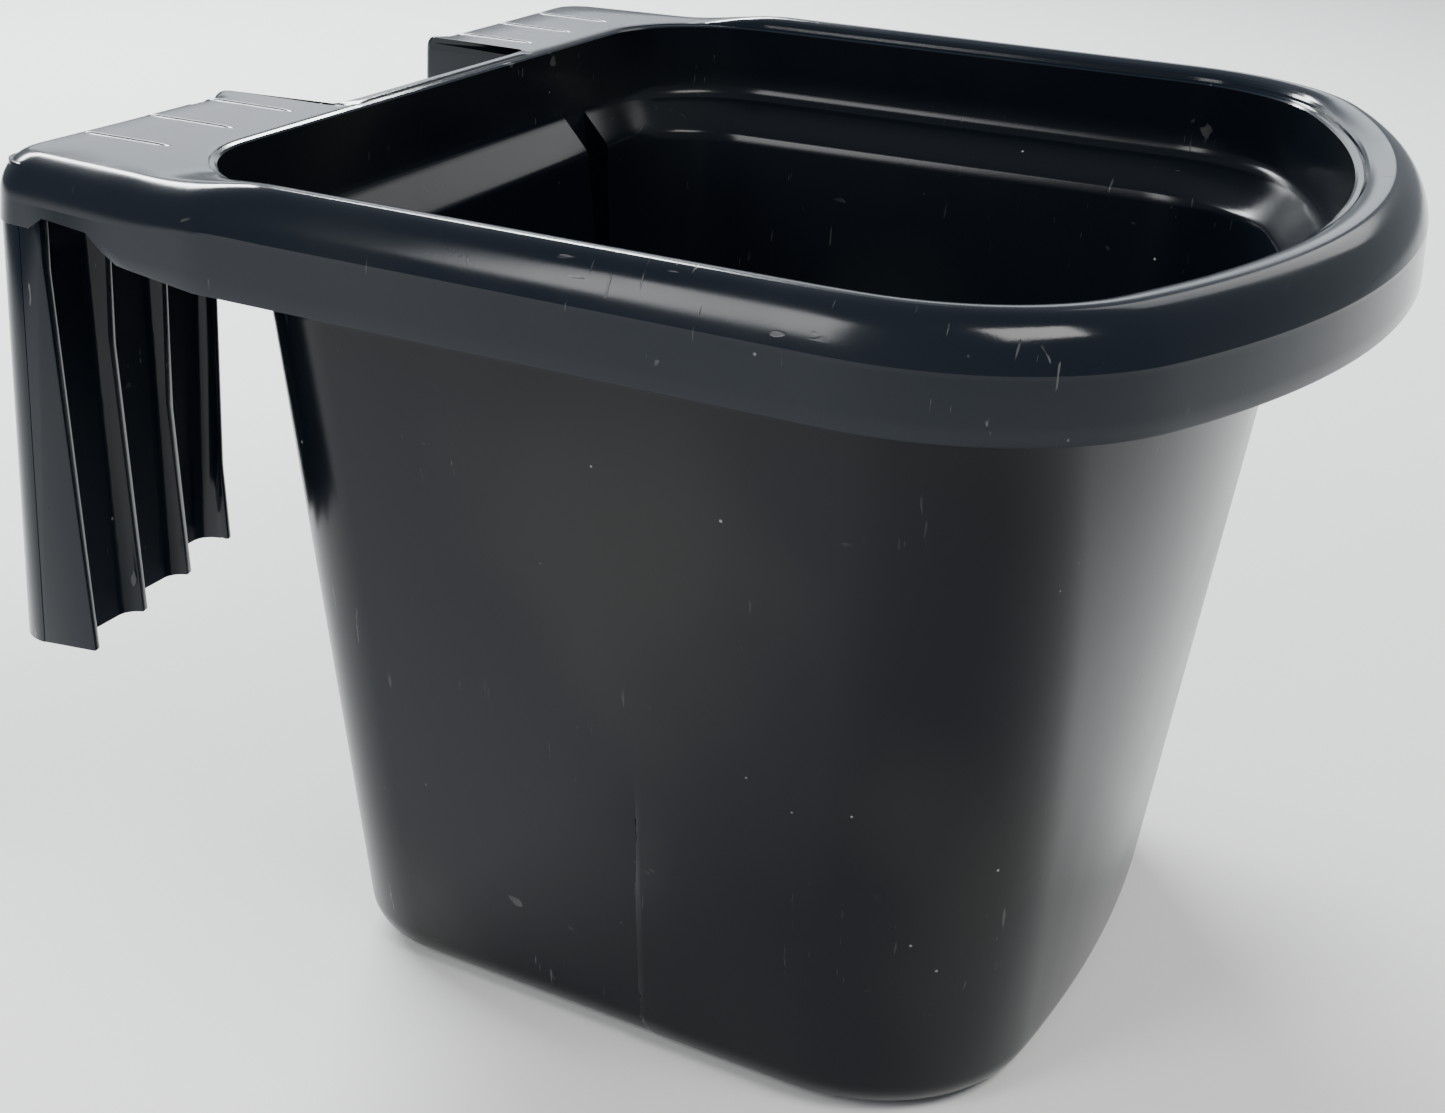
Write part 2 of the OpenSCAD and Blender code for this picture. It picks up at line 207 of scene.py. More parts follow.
def sheet(rings, fill_ends=False):
    """One skin through rings of points, with its two ends filled if asked."""
    bm = bmesh.new()
    ring = first_ring(bm, rings[0])
    ends = [ring[1]]
    for points in rings[1:]:
        ring = next_ring(bm, ring, points)
    if fill_ends:
        ends.append(ring[1])
        faces = [bmesh.ops.contextual_create(bm, geom=end)["faces"][0] for end in ends]
        bmesh.ops.inset_individual(bm, faces=faces, thickness=6 * MM)
    bmesh.ops.recalc_face_normals(bm, faces=bm.faces)
    return bm


def level_normals(points):
    """Level unit vectors to the left of each point of a closed run of points."""
    normals = []
    for i, p in enumerate(points):
        before, after = points[i - 1], points[(i + 1) % len(points)]
        run = Vector((after[0] - before[0], after[1] - before[1], 0)).normalized()
        normals.append(Vector((-run.y, run.x, 0)))
    return normals


def offset_ring(points, by, tilt=0.0):
    """A ring moved outwards by a distance, or partly down where tilt is over 0."""
    return [Vector(p) + by * (-n * math.cos(tilt) - Vector((0, 0, math.sin(tilt))))
            for p, n in zip(points, level_normals(points))]


def closed_shell(rings):
    """A closed shell through rings, from the last back to the first."""
    bm = sheet(rings + [rings[0]])
    bmesh.ops.remove_doubles(bm, verts=bm.verts, dist=0.001 * MM)
    bmesh.ops.recalc_face_normals(bm, faces=bm.faces)
    return bm


def shell(rings, wall):
    """A closed shell whose inside runs through the rings, a wall thick outwards."""
    return closed_shell(rings + [offset_ring(ring, wall) for ring in reversed(rings)])


def finish_piece(bm, name, slot, nodes=(), sharp=28):
    """The piece as an object, shaded smooth up to an angle, riding on the body in place of the
    given nodes."""
    mesh = bpy.data.meshes.new(name)
    bm.to_mesh(mesh)
    bm.free()
    for polygon in mesh.polygons:
        polygon.use_smooth = True
    mesh.set_sharp_from_angle(angle=math.radians(sharp))
    piece = bpy.data.objects.new(name, mesh)
    bpy.context.scene.collection.objects.link(piece)
    mesh.materials.append(material(slot))
    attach(piece, BODY)
    if nodes:
        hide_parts(*nodes)


# ---- materials --------------------------------------------------------------------------------
def socket(group, name, kind, way, default=None):
    item = group.interface.new_socket(name=name, in_out=way, socket_type=kind)
    if default is not None:
        item.default_value = default
    return item


class Graph:
    """Short words for making nodes and links in one tree."""

    def __init__(self, tree):
        self.tree = tree

    def node(self, kind, **inputs):
        node = self.tree.nodes.new(kind)
        for key, value in inputs.items():
            self.put(node, key, value)
        return node

    def put(self, node, key, value):
        target = node.inputs[int(key[1:])] if key[0] == "i" and key[1:].isdigit() \
            else node.inputs[key.replace("_", " ")]
        if isinstance(value, bpy.types.NodeSocket):
            self.tree.links.new(value, target)
        else:
            target.default_value = value

    def math(self, how, a, b=0.0, clamp=False):
        node = self.tree.nodes.new("ShaderNodeMath")
        node.operation, node.use_clamp = how, clamp
        self.put(node, "i0", a)
        self.put(node, "i1", b)
        return node.outputs[0]

    def ramp(self, value, low, high, start=0.0, end=1.0):
        node = self.node("ShaderNodeMapRange", Value=value, From_Min=low, From_Max=high,
                         To_Min=start, To_Max=end)
        node.interpolation_type = "SMOOTHSTEP"
        return node.outputs["Result"]

    def noise(self, where, scale, detail=3.0, rough=0.55, stretch=None):
        if stretch:
            where = self.node("ShaderNodeMapping", Vector=where, Scale=stretch).outputs[0]
        return self.node("ShaderNodeTexNoise", Vector=where, Scale=scale, Detail=detail,
                         Roughness=rough).outputs["Fac"]


def scuff_group():
    """Broad smears, fine hair scratches and dust specks over moulded plastic."""
    if "plastic_wear" in bpy.data.node_groups:
        return bpy.data.node_groups["plastic_wear"]
    group = bpy.data.node_groups.new("plastic_wear", "ShaderNodeTree")
    socket(group, "Scuffs", "NodeSocketFloat", "INPUT", 0.5)
    socket(group, "Dust", "NodeSocketFloat", "INPUT", 0.5)
    socket(group, "Smear", "NodeSocketFloat", "OUTPUT")
    socket(group, "Scratch", "NodeSocketFloat", "OUTPUT")
    socket(group, "Speck", "NodeSocketFloat", "OUTPUT")
    socket(group, "Grain", "NodeSocketFloat", "OUTPUT")
    socket(group, "Film", "NodeSocketFloat", "OUTPUT")
    g = Graph(group)
    inputs, outputs = group.nodes.new("NodeGroupInput"), group.nodes.new("NodeGroupOutput")
    where = g.node("ShaderNodeTexCoord").outputs["Object"]
    broad = g.noise(where, 9.0, 4.0, 0.6)
    smear = g.ramp(broad, 0.42, 0.78)
    hair = g.noise(where, 60.0, 2.0, 0.5, (1.0, 9.0, 1.2))
    cross = g.noise(where, 70.0, 2.0, 0.5, (8.0, 1.0, 1.4))
    lines = g.math("MAXIMUM", g.ramp(hair, 0.70, 0.74), g.ramp(cross, 0.71, 0.75))
    patch = g.ramp(g.noise(where, 22.0, 2.0), 0.52, 0.66)
    scratch = g.math("MULTIPLY", g.math("MULTIPLY", lines, patch), inputs.outputs["Scuffs"])
    cell = g.node("ShaderNodeTexVoronoi", Vector=where, Scale=150.0, Randomness=1.0)
    dot = g.ramp(cell.outputs["Distance"], 0.10, 0.04)
    pick = g.node("ShaderNodeSeparateColor", Color=cell.outputs["Color"]).outputs[0]
    rare = g.ramp(pick, 0.955, 0.965)
    zone = g.ramp(g.noise(where, 14.0, 3.0), 0.40, 0.62)
    speck = g.math("MULTIPLY", g.math("MULTIPLY", dot, rare), zone)
    grain = g.noise(where, 1400.0, 2.0, 0.6)
    film = g.ramp(g.noise(where, 6.5, 2.0, 0.45), 0.44, 0.68)
    for name, value in (("Smear", g.math("MULTIPLY", smear, inputs.outputs["Scuffs"])),
                        ("Scratch", scratch),
                        ("Speck", g.math("MULTIPLY", speck, inputs.outputs["Dust"])),
                        ("Grain", grain),
                        ("Film", g.math("MULTIPLY", film, inputs.outputs["Dust"]))):
        g.put(outputs, name, value)
    return group


def material(slot):
    """The glossy plastic of one of the record's material slots, made once."""
    if slot in bpy.data.materials and bpy.data.materials[slot].get("made_here"):
        return bpy.data.materials[slot]
    finish = bpy.context.scene.bucket_finish
    is_tub = slot == TUB_SLOT
    color = tuple(finish.tub_color if is_tub else finish.rim_color)
    rough = finish.tub_roughness if is_tub else finish.rim_roughness
    mat = bpy.data.materials.new(slot)
    mat["made_here"] = True
    mat.use_nodes = True
    tree = mat.node_tree
    tree.nodes.clear()
    g = Graph(tree)
    wear = tree.nodes.new("ShaderNodeGroup")
    wear.node_tree = scuff_group()
    g.put(wear, "Scuffs", 0.5 if is_tub else 0.9)
    g.put(wear, "Dust", 1.0 if is_tub else 0.5)
    out = wear.outputs
    marks = g.math("MAXIMUM", g.math("MULTIPLY", out["Scratch"], 0.25), out["Speck"], True)
    mix = g.node("ShaderNodeMix")
    mix.data_type = "RGBA"
    g.put(mix, "i0", marks)
    haze = g.node("ShaderNodeMix")
    haze.data_type = "RGBA"
    g.put(haze, "i0", out["Film"])
    g.put(haze, "i6", (*color, 1.0))
    g.put(haze, "i7", (*[0.009 + 1.15 * c for c in color[:2]], 0.007 + color[2], 1.0))
    g.put(mix, "i6", haze.outputs[2])
    g.put(mix, "i7", (0.35, 0.35, 0.34, 1.0))
    roughness = g.math("ADD", g.math("MULTIPLY", out["Smear"], 0.12), rough)
    roughness = g.math("ADD", roughness, g.math("MULTIPLY", marks, 0.5), True)
    height = g.math("ADD", g.math("MULTIPLY", out["Grain"], 0.15),
                    g.math("MULTIPLY", out["Scratch"], -1.0))
    bump = g.node("ShaderNodeBump", Strength=0.25, Distance=0.0003, Height=height)
    shader = g.node("ShaderNodeBsdfPrincipled", Roughness=roughness, Normal=bump.outputs[0],
                    IOR=1.5)
    shader.inputs["Specular IOR Level"].default_value = 0.2 if is_tub else 0.28
    tree.links.new(mix.outputs[2], shader.inputs["Base Color"])
    surface = g.node("ShaderNodeOutputMaterial", Surface=shader.outputs[0])
    surface.is_active_output = True
    return mat


# ---- tub --------------------------------------------------------------------------------------
def smooth(t):
    """Eases from 0 to 1 as t does, and stays there beyond."""
    t = min(max(t, 0.0), 1.0)
    return t * t * (3 - 2 * t)


def tub_ring(s, level, z, step=0.0, step_y=STEP_Y, channel_y=None):
    """A ring of the tub's inside: with the mould step on its sides and, near the top, the two
    channels in its back, whose floor lies at channel_y."""
    marks = [step_y - 1.0, step_y + 1.0]
    edge = [CHANNEL_X + by for by in (-CHANNEL_HALF - CHANNEL_FLANK, -CHANNEL_HALF,
                                      CHANNEL_HALF, CHANNEL_HALF + CHANNEL_FLANK)]
    points = []
    for x, y in whole(half_outline(level, marks, edge)):
        if channel_y is not None and y > 0 and abs(abs(x) - CHANNEL_X) <= CHANNEL_HALF + 0.01:
            y = max(y, channel_y)
        if y < step_y and step > 0 and abs(x) > level[0] * 0.5:
            x += math.copysign(step, x)
        points.append((x, y, z))
    return points


def step_at(z):
    """Height of the mould step, which fades out upwards."""
    return STEP_DEPTH * smooth((STEP_TOP_Z - z) / 40)


def channel_floor(s, z):
    """How far back the channels reach at a height."""
    foot = tub(s, CHANNEL_FOOT_Z, s["wall"])[1]
    share = (z - CHANNEL_FOOT_Z) / (COLLAR_Z - CHANNEL_FOOT_Z)
    return foot + (s["mouth_back"] - CHANNEL_FLANK - foot) * max(share, 0)


class BUCKET_OT_tub(bpy.types.Operator):
    """Model the tub's floor and wall, with the two channels in its back"""
    bl_idname = "bucket.tub"
    bl_label = "Tub"

    def execute(self, context):
        s = sizes()
        wall, radius, seam = s["wall"], FOOT_RADIUS, FOOT_SEAM_Z
        inner = radius - wall
        rings, tilts = [tub_ring(s, tub(s, seam, wall), seam, step_at(seam))], [0.0]
        for i in range(FOOT_POINTS + 1):
            t = math.radians(90 * i / FOOT_POINTS)
            z = radius - inner * math.sin(t)
            inset = wall + inner * (1 - math.cos(t))
            y = STEP_Y - STEP_SLANT * (1 - math.cos(t))
            rings.append(tub_ring(s, tub(s, z, inset), z, step_at(z) * math.cos(t), y))
            tilts.append(t)
        outside = [offset_ring(ring, wall, t) for ring, t in zip(rings, tilts)]
        bm = sheet(outside[::-1] + rings, fill_ends=True)
        finish_piece(bm, "tub_floor", TUB_SLOT, ["tub_floor"])

        top = SHOULDER_Z - 5.0
        heights = [seam, top] + [z for z in range(25, 250, 12) if z <= top]
        rings = []
        for z in sorted(set(heights), reverse=True):
            floor_y = channel_floor(s, z) if z > CHANNEL_FOOT_Z else None
            rings.append(tub_ring(s, tub(s, z, wall), z, step_at(z), channel_y=floor_y))
        bm = shell(rings, wall)
        finish_piece(bm, "tub_wall", TUB_SLOT,
                     ["tub_wall", "stiffener_left", "stiffener_right"])
        return {"FINISHED"}


class BUCKET_OT_shoulder(bpy.types.Operator):
    """Model the sloping shoulder and the upright collar inside the mouth"""
    bl_idname = "bucket.shoulder"
    bl_label = "Shoulder and collar"

    def execute(self, context):
        s = sizes()
        wall = s["wall"]
        low, high = tub(s, SHOULDER_Z, wall), mouth(s, -1, -1, -1)
        # section of the inside, as a share of the way out and a height: wall, lip and slope
        section = [(0.0, SHOULDER_Z - 5), (0.0, SHOULDER_Z - 1.6), (0.02, SHOULDER_Z - 0.6),
                   (0.08, SHOULDER_Z + 0.5), (0.2, SHOULDER_Z + 2.2), (0.5, SHOULDER_Z + 6.2),
                   (0.72, SHOULDER_Z + 9.0), (0.84, SHOULDER_Z + 10.6)]
        rings = []
        for share, z in section:
            level = tub(s, z, wall) if share == 0.0 else between(low, high, share)
            rings.append(tub_ring(s, level, z, channel_y=channel_floor(s, z)))
        bm = shell(rings, wall)
        finish_piece(bm, "shoulder", TUB_SLOT, ["shoulder"], 40)

        rings = []
        for share, z in [(0.84, SHOULDER_Z + 10.6), (0.92, SHOULDER_Z + 11.8),
                         (0.97, SHOULDER_Z + 13.2), (1.0, SHOULDER_Z + 15.5)]:
            rings.append(tub_ring(s, between(low, high, share), z,
                                  channel_y=channel_floor(s, min(z, COLLAR_Z))))
        for share in (0.3, 0.65, 1.0):
            z = SHOULDER_Z + 15.5 + (s["mouth_z"] - SHOULDER_Z - 15.5) * share
            rings.append(tub_ring(s, between(high, mouth(s), share), z))
        bm = shell(rings, wall)
        finish_piece(bm, "collar", TUB_SLOT, ["collar"], 40)
        return {"FINISHED"}


# ---- rim and arms -----------------------------------------------------------------------------
ARM_INNER, ARM_START, ARM_SIDE, ARM_TOE, ARM_CORNER = 70.0, 87.0, 202.0, 10.0, 14.0
SEAT_FRONT, SEAT_BACK = 126.7, 154.5
RIDGE_X, RIDGE_HALF, RIDGE_DEPTH = (85.0, 118.4, 151.8), 1.1, 1.2
ARM_STATIONS, ROLL_STATIONS = 200, 84


def along_path(path, count):
    """A path's points respaced evenly, both ends kept."""
    runs = [0.0]
    for p, q in zip(path, path[1:]):
        runs.append(runs[-1] + math.dist(p, q))
    points, k = [], 0
    for i in range(count + 1):
        want = runs[-1] * i / count
        while k < len(runs) - 2 and runs[k + 1] < want:
            k += 1
        points.append(Vector(path[k]).lerp(Vector(path[k + 1]),
                                           (want - runs[k]) / (runs[k + 1] - runs[k]))[:])
    return points


def split_path(path, y):
    """A falling path cut in two at a height in plan."""
    for k, (p, q) in enumerate(zip(path, path[1:])):
        if k > 2 and p[1] >= y > q[1]:
            cut = Vector(p).lerp(Vector(q), (p[1] - y) / (p[1] - q[1]))[:]
            return path[:k + 1] + [cut], [cut] + path[k + 1:]
    raise ValueError("the outline never falls to that height")


def rim_stations(s):
    """(inner point, outer point, kind) all round the rim, starting at the middle of the back.
    kind is 2 on the strip between the hooks, 1 on an arm and 0 on the roll."""
    inner = half_outline(mouth(s))
    outer = half_outline(mouth(s, s["rim_side"], s["rim_back"], s["rim_front"]))
    strip_y = s["mouth_back"] + s["rim_back"]
    back = strip_y + s["arm_reach"]
    toe_x = ARM_SIDE - ARM_TOE
    mouth_y = s["mouth_back"]
    stations = [((-x, mouth_y), (-x, strip_y), 2.0) for x in (0, 12, 24, 36, 46, 54)]
    fillet = arc(-ARM_INNER + 8, strip_y + 8, 8, 270, 180, 10)
    stations += [((-56 - i * 0.8, mouth_y), p, 2.0 - i / 10) for i, p in enumerate(fillet)]

    side_low, side_rest = split_path(inner, 64.0)
    _, outer_rest = split_path(outer, 56.0)
    start = outer_rest[0]
    edge = arc(-ARM_INNER - 4, back - 4, 4, 0, 90, 6)[1:]
    edge += [(-ARM_INNER - 4 - (toe_x - ARM_CORNER - ARM_INNER - 4) * i / 14, back)
             for i in range(1, 15)]
    edge += arc(-toe_x + ARM_CORNER, back - ARM_CORNER, ARM_CORNER, 90, 176, 10)[1:]
    last = edge[-1]
    knee = (-ARM_SIDE - 0.2, ARM_START)
    edge += [Vector(last).lerp(Vector(knee), i / 12)[:] for i in range(1, 13)]
    edge += [Vector(knee).lerp(Vector(start), i / 6)[:] for i in range(1, 7)]
    # the arm's stations fan out from the mouth's back edge and corner
    feet_path = [(-64.5, mouth_y)] + [p for p in side_low if p[0] < -66]
    runs = [0.0]
    for p, q in zip(edge, edge[1:]):
        runs.append(runs[-1] + math.dist(p, q))
    feet = along_path(feet_path, ARM_STATIONS)
    for p, run in zip(edge, runs):
        place = ARM_STATIONS * fan(run / runs[-1])
        k = min(int(place), ARM_STATIONS - 1)
        stations.append((Vector(feet[k]).lerp(Vector(feet[k + 1]), place - k)[:], p, 1.0))
    tail_in, tail_out = (along_path(path, ROLL_STATIONS) for path in (side_rest, outer_rest))
    stations += [(p, q, 0.0) for p, q in zip(tail_in[1:], tail_out[1:])]
    mirror = [((-p[0], p[1]), (-q[0], q[1]), k) for p, q, k in reversed(stations[1:-1])]
    return stations + mirror


def fan(t):
    """Share of the mouth's edge that the arm's stations have used, for a share of its edge."""
    return 0.06 * t / 0.14 if t < 0.14 else 0.06 + 0.94 * (t - 0.14) / 0.86


def arm_share(station):
    """0 on the roll, 1 well along an arm: the roll flattens as it runs back onto the arm."""
    _, q, kind = station
    if kind < 1.0:
        return 0.0
    return smooth((q[1] - 60.0) / 60.0) if abs(q[0]) > 180 else 1.0


def section(s, station):
    """The rim's outside at a station, from the mouth edge out to the crease: (distance from the
    mouth edge, height over it, lean of the surface's normal from upright in radians)."""
    p, q, kind = station
    width = math.dist(p, q)
    arm = arm_share(station)
    strip = max(kind - 1.0, 0.0)
    near = 1 - smooth((abs(q[0]) - ARM_INNER) / 9) if kind >= 1.0 else 0.0

    def blend(roll, arm_value, inner_value, strip_value):
        value = roll * (1 - arm) + arm_value * arm
        value = value * (1 - near) + inner_value * near
        return value * (1 - strip) + strip_value * strip

    rise = blend(s["roll_rise"], 0.9, 0.9, 1.7)
    crown = blend(0.46 * width, min(8.0, 0.4 * width), 7.0, 0.55 * width)
    round_w = blend(0.5 * width, s["arm_round"], 3.0, 2.4)
    round_h = blend(rise + s["crease_drop"], s["arm_round"] + 0.9, 4.0, 4.0)
    lean = blend(0.04 * width, 0.5, 0.0, 0.0)
    turn = math.radians(blend(68.0, 88.0, 88.0, 88.0))
    end = width - lean - round_w
    points = [(0.0, 0.0, 0.0), (0.9, 0.5, 0.0), (2.5, 0.85, 0.0), (2.8, 1.15, 0.0)]
    for i in range(1, 7):
        t = math.radians(15 * i)
        points.append((crown - (crown - 2.8) * math.cos(t), 1.15 + (rise - 1.15) * math.sin(t),
                       0.0))
    points += [(crown + (end - crown) * i / 3, rise, 0.0) for i in (1, 2)]
    for i in range(ROUND_POINTS + 1):
        t = turn * i / ROUND_POINTS
        points.append((end + round_w * math.sin(t) / math.sin(turn),
                       rise - round_h * (1 - math.cos(t)) / (1 - math.cos(turn)), t))
    points.append((points[-1][0] + 0.02, points[-1][1] - 1.2, math.pi / 2))
    return points, width


def station_point(s, station, d, h):
    """The point of a station's section at a distance from the mouth edge and a height over it."""
    p, q, _ = station
    t = d / math.dist(p, q)
    return Vector((p[0] + (q[0] - p[0]) * t, p[1] + (q[1] - p[1]) * t, s["mouth_z"] + h))


class BUCKET_OT_rim(bpy.types.Operator):
    """Model the rolled rim, which runs back into the tops of the two arms"""
    bl_idname = "bucket.rim"
    bl_label = "Rolled rim and arms"

    def execute(self, context):
        s = sizes()
        stations = rim_stations(s)
        normals = level_normals([q for _, q, _ in stations])
        sections = [section(s, st)[0] for st in stations]
        outside, inside = [], []
        for k in range(len(sections[0])):
            ring = [station_point(s, st, *sec[k][:2]) for st, sec in zip(stations, sections)]
            outside.append(ring)
            if k > 2:
                inside.append([point + RIM_WALL * (normal * math.sin(sec[k][2])
                                                   - Vector((0, 0, math.cos(sec[k][2]))))
                               for point, normal, sec in zip(ring, normals, sections)])
        bm = closed_shell(outside + inside[::-1])
        finish_piece(bm, "rim_roll", RIM_SLOT,
                     ["rim_roll", "back_rim", "arm_left", "arm_right"], 12)
        return {"FINISHED"}


def skirt_bottom(s, station):
    """Height of the skirt's bottom edge over the mouth edge, at a station."""
    _, q, kind = station
    strip_drop, web_drop, tab_drop, seat_drop = 12.0, 16.5, 21.0, 16.3
    if kind > 1.0:
        return -strip_drop
    if kind < 1.0:
        return -s["skirt_drop"]
    if abs(q[0]) < ARM_INNER + 20:
        return -web_drop
    y = q[1]
    if y > SEAT_BACK or abs(q[0]) < 186:
        return -tab_drop
    if y > SEAT_FRONT:
        return -seat_drop - 1.5 * (SEAT_BACK - y) / (SEAT_BACK - SEAT_FRONT)
    share = smooth((SEAT_FRONT - y) / 4.2)
    slope = s["skirt_drop"] - 3.0 * (y - ARM_START) / (SEAT_FRONT - ARM_START)
    return -(seat_drop + 1.5) * (1 - share) - min(slope, s["skirt_drop"]) * share


class BUCKET_OT_skirt(bpy.types.Operator):
    """Model the skirt under the rolled rim and the arms"""
    bl_idname = "bucket.skirt"
    bl_label = "Skirt"

    def execute(self, context):
        s = sizes()
        stations = rim_stations(s)
        normals = level_normals([q for _, q, _ in stations])
        rings = [[] for _ in range(10)]
        for st, normal in zip(stations, normals):
            points, width = section(s, st)
            top_d, top_h, _ = points[-1]
            bottom, lean = skirt_bottom(s, st), width - top_d
            outer = [(top_d + lean * t, top_h + (bottom - top_h) * t) for t in (0, 0.35, 0.7, 0.96)]
            outer += [(width - 0.2, bottom + 0.15)]
            places = [station_point(s, st, d, h) for d, h in outer]
            places.append(station_point(s, st, width - 0.2, bottom) + normal * 0.5)
            places.append(station_point(s, st, width - 0.2, bottom) + normal * 1.9)
            places += [place + normal * RIM_WALL for place in (places[4], places[2], places[0])]
            for ring, place in zip(rings, places):
                ring.append(place)
        bm = closed_shell(rings)
        finish_piece(bm, "rim_skirt", RIM_SLOT,
                     ["rim_skirt", "arm_skirt_left", "arm_skirt_right"], 40)
        return {"FINISHED"}


class BUCKET_OT_hooks(bpy.types.Operator):
    """Soften the edges of the fluted drop plates and their flanges"""
    bl_idname = "bucket.hooks"
    bl_label = "Drop plates"

    def execute(self, context):
        for name in ("drop_plate_left", "drop_plate_right", "outer_flange_left",
                     "outer_flange_right", "inner_flange_left", "inner_flange_right"):
            bm = bmesh.new()
            bm.from_mesh(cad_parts[name].data)
            bmesh.ops.remove_doubles(bm, verts=bm.verts, dist=0.00002)
            bmesh.ops.dissolve_limit(bm, angle_limit=math.radians(1.0), verts=bm.verts,
                                     edges=bm.edges)
            edges = [e for e in bm.edges if len(e.link_faces) == 2
                     and e.calc_face_angle(0.0) > math.radians(40)]
            bmesh.ops.bevel(bm, geom=edges, offset=0.7 * MM, offset_type="OFFSET", segments=2,
                            profile=0.5, affect="EDGES", clamp_overlap=True, material=-1)
            finish_piece(bm, name + "_edged", RIM_SLOT, [name], 35)
        return {"FINISHED"}


class BUCKET_OT_ridges(bpy.types.Operator):
    """Model the three fine ridges on top of each arm"""
    bl_idname = "bucket.ridges"
    bl_label = "Arm ridges"

    def execute(self, context):
        s = sizes()
        back = s["mouth_back"] + s["rim_back"] + s["arm_reach"]
        for side, word in ((-1, "left"), (1, "right")):
            bm = bmesh.new()
            for x in RIDGE_X:
                made = bmesh.ops.create_grid(bm, x_segments=8, y_segments=30, size=0.5)["verts"]
                y0, y1 = s["mouth_back"] + 12.0, back - 3.0
                for v in made:
                    across, along = v.co.x * 2, v.co.y + 0.5
                    ends = smooth(min(along * 6, (1 - along) * 10))
                    rise = s["ridge_rise"] * math.cos(across * math.pi / 2) ** 1.5 * ends
                    y = y0 + (y1 - y0) * along
                    drop = max(y - (back - s["arm_round"]), 0)
                    fall = s["arm_round"] - math.sqrt(max(s["arm_round"] ** 2 - drop ** 2, 0))
                    v.co = Vector((side * (x + across * RIDGE_HALF), y,
                                   s["mouth_z"] + 0.85 + rise - fall)) * MM
            made = bmesh.ops.extrude_face_region(bm, geom=bm.faces[:], use_keep_orig=True)["geom"]
            bmesh.ops.translate(bm, vec=(0, 0, -RIDGE_DEPTH * MM),
                                verts=[g for g in made if isinstance(g, bmesh.types.BMVert)])
            bmesh.ops.recalc_face_normals(bm, faces=bm.faces)
            finish_piece(bm, "arm_ridges_" + word, RIM_SLOT, sharp=40)
        return {"FINISHED"}


# ---- stage ------------------------------------------------------------------------------------
def area_light(name, where, look_z, size, power, color):
    """A soft rectangular light that looks at a point over the origin."""
    light = bpy.data.lights.new(name, "AREA")
    light.shape, light.size, light.size_y = "RECTANGLE", size[0], size[1]
    light.energy, light.color = power, color
    lamp = bpy.data.objects.new(name, light)
    lamp.location = where
    aim = Vector((0, 0, look_z)) - Vector(where)
    lamp.rotation_euler = aim.to_track_quat("-Z", "Y").to_euler()
    bpy.context.scene.collection.objects.link(lamp)


# name, place, height of the point it looks at over the origin, size, power and colour
LIGHTS = (("key", (-0.7, -1.5, 2.3), 0.2, (1.3, 0.8), 48, (1.0, 0.98, 0.95)),
          ("back", (1.3, 1.9, 1.7), 0.25, (2.6, 0.45), 180, (0.95, 0.98, 1.0)),
          ("window", (1.9, -0.5, 1.5), 0.3, (0.8, 1.2), 6, (1, 1, 1)),
          ("horizon", (2.7, 1.35, 0.98), 0.3, (2.8, 0.5), 8, (0.9, 0.95, 1.0)),
          ("side", (-2.0, 0.9, 1.5), 0.15, (0.7, 1.1), 30, (1, 1, 1)))
CAMERA_PLACE, CAMERA_LENS, CAMERA_SHIFT = (-0.7022, -0.2954, 0.4532), 54.46, (0.04604, -0.02784)
CAMERA_YAW, CAMERA_PITCH, CAMERA_ROLL = 65.33, 22.03, -2.92    # degrees; yaw is from +Y to +X


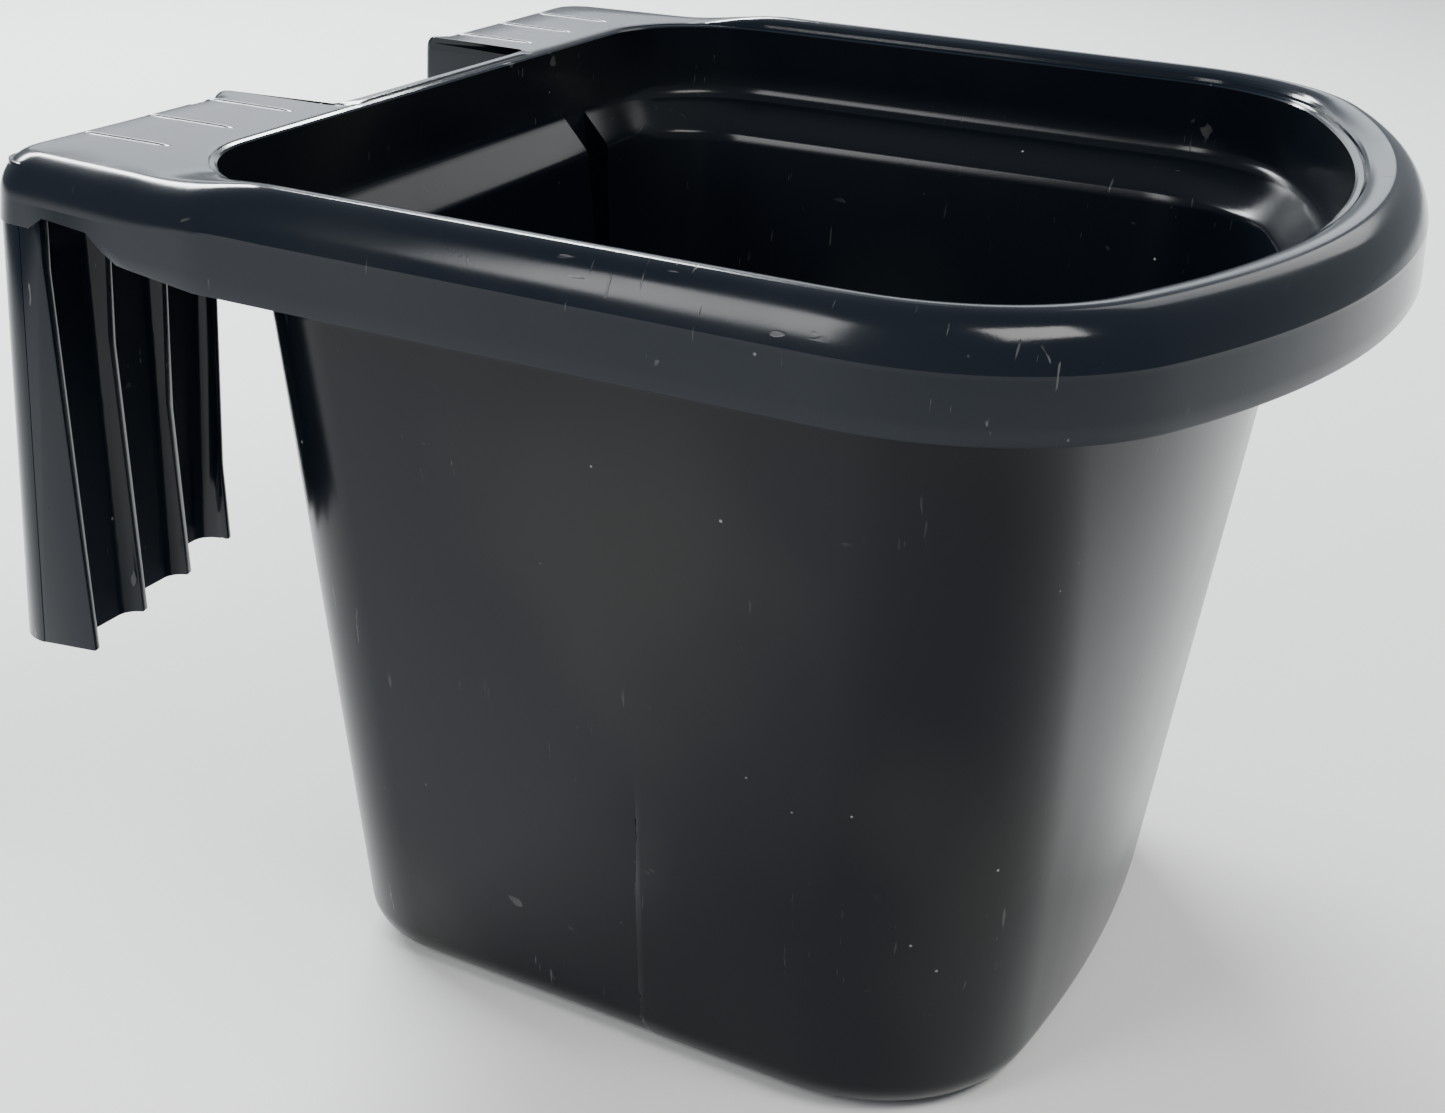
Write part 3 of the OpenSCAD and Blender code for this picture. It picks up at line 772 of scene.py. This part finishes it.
class BUCKET_OT_studio(bpy.types.Operator):
    """Add the pale floor, the soft lights and the camera"""
    bl_idname = "bucket.studio"
    bl_label = "Studio"

    def execute(self, context):
        scene = context.scene
        mesh = bpy.data.meshes.new("studio_floor")
        bm = bmesh.new()
        bmesh.ops.create_grid(bm, x_segments=1, y_segments=1, size=6.0)
        bm.to_mesh(mesh)
        bm.free()
        floor = bpy.data.objects.new("studio_floor", mesh)
        scene.collection.objects.link(floor)
        mat = bpy.data.materials.new("studio_floor")
        mat.use_nodes = True
        shader = mat.node_tree.nodes["Principled BSDF"]
        shader.inputs["Base Color"].default_value = (*scene.bucket_finish.floor_color, 1)
        shader.inputs["Roughness"].default_value = 0.8
        mesh.materials.append(mat)

        world = bpy.data.worlds.new("studio")
        scene.world = world
        world.use_nodes = True
        world.node_tree.nodes["Background"].inputs[0].default_value = (0.86, 0.92, 1.0, 1)
        world.node_tree.nodes["Background"].inputs[1].default_value = 0.40

        for light in LIGHTS:
            area_light(*light)

        camera = bpy.data.objects.new("camera", bpy.data.cameras.new("camera"))
        camera.data.sensor_width, camera.data.lens = 36.0, CAMERA_LENS
        camera.data.shift_x, camera.data.shift_y = CAMERA_SHIFT
        camera.data.clip_start = 0.02
        yaw, pitch, roll = map(math.radians, (CAMERA_YAW, CAMERA_PITCH, CAMERA_ROLL))
        ahead = Vector((math.sin(yaw) * math.cos(pitch), math.cos(yaw) * math.cos(pitch),
                        -math.sin(pitch)))
        right = Vector((math.cos(yaw), -math.sin(yaw), 0))
        down = ahead.cross(right)
        x_axis = right * math.cos(roll) + down * math.sin(roll)
        y_axis = right * math.sin(roll) - down * math.cos(roll)
        turn = Matrix((x_axis, y_axis, -ahead)).transposed()
        camera.matrix_world = Matrix.Translation(CAMERA_PLACE) @ turn.to_4x4()
        scene.collection.objects.link(camera)
        scene.camera = camera
        return {"FINISHED"}


class BUCKET_PT_panel(bpy.types.Panel):
    """Sizes, finish and pieces of the feed bucket"""
    bl_label = "Feed bucket"
    bl_idname = "BUCKET_PT_panel"
    bl_space_type = "VIEW_3D"
    bl_region_type = "UI"
    bl_category = "Feed bucket"

    def draw(self, context):
        for group in (context.scene.bucket_sizes, context.scene.bucket_finish):
            for name in type(group).__annotations__:
                self.layout.prop(group, name)
        for operator in OPERATORS:
            self.layout.operator(operator.bl_idname)


OPERATORS = (BUCKET_OT_tub, BUCKET_OT_shoulder, BUCKET_OT_rim, BUCKET_OT_skirt, BUCKET_OT_hooks,
             BUCKET_OT_ridges, BUCKET_OT_studio)
CLASSES = (BucketSizes, BucketFinish, *OPERATORS, BUCKET_PT_panel)


def register():
    for cls in CLASSES:
        bpy.utils.register_class(cls)
    bpy.types.Scene.bucket_sizes = PointerProperty(type=BucketSizes)
    bpy.types.Scene.bucket_finish = PointerProperty(type=BucketFinish)


def unregister():
    del bpy.types.Scene.bucket_finish
    del bpy.types.Scene.bucket_sizes
    for cls in reversed(CLASSES):
        bpy.utils.unregister_class(cls)


def main():
    register()
    bpy.ops.bucket.tub()
    bpy.ops.bucket.shoulder()
    bpy.ops.bucket.rim()
    bpy.ops.bucket.skirt()
    bpy.ops.bucket.hooks()
    bpy.ops.bucket.ridges()
    bpy.ops.bucket.studio()


if __name__ == "__main__":
    main()
